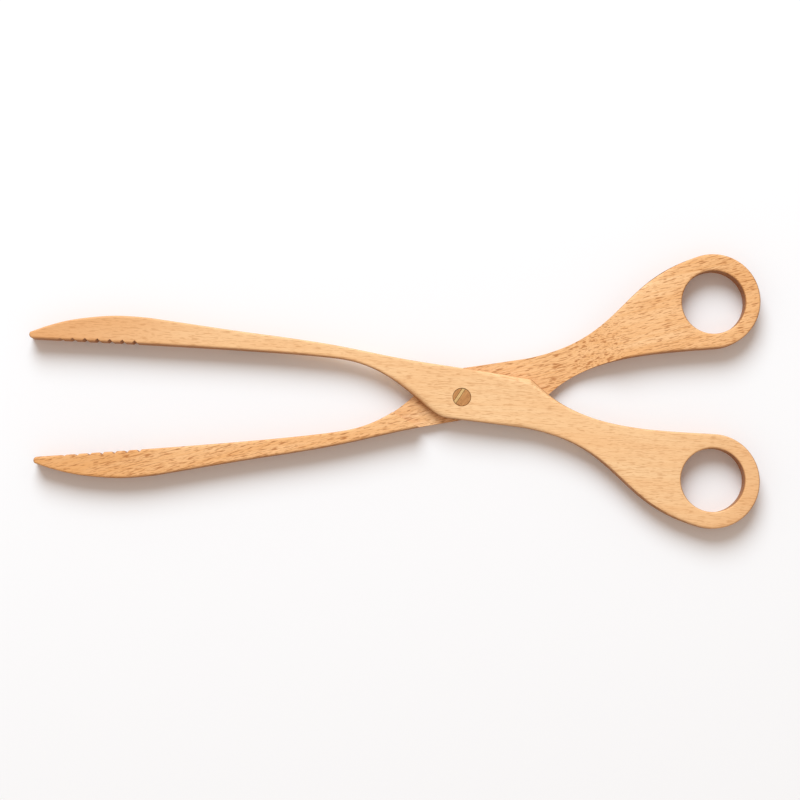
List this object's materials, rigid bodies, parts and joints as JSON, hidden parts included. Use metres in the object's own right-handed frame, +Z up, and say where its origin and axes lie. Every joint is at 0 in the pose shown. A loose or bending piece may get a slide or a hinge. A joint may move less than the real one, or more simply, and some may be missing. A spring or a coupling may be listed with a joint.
{
  "type": "wooden scissor tongs",
  "caption": "Beech scissor tongs for the kitchen: mirrored arms half-lapped on a wedged dowel, toothed slim jaws, round finger rings.",
  "frame": {"origin": "on the surface the tongs lie on, under the middle of the whole object's box as it lies half open", "axes": "+Z up out of the surface; the closing line runs along X, jaws towards -X and finger rings towards +X; the front arm's jaw is on the +Y side"},
  "size_m": [0.2998, 0.1126, 0.009],
  "materials": {
    "front_beech": "sanded and lightly oiled, satin",
    "rear_beech": "sanded and lightly oiled, satin",
    "dowel_end_grain": "sanded end grain, oiled",
    "wedge_wood": "sanded flush"
  },
  "bodies": {
    "rear": {"rear_arm": "rear_beech"},
    "front": {"front_arm": "front_beech", "pivot_dowel": "dowel_end_grain", "dowel_wedge": "wedge_wood"}
  },
  "joints": [
    {"name": "arm_pivot", "type": "hinge", "parent": "rear", "child": "front", "pos_m": [0.02699, -0.00164, 0.0045], "axis": [0, 0, 1], "range_deg": [-30, 15.5]}
  ]
}
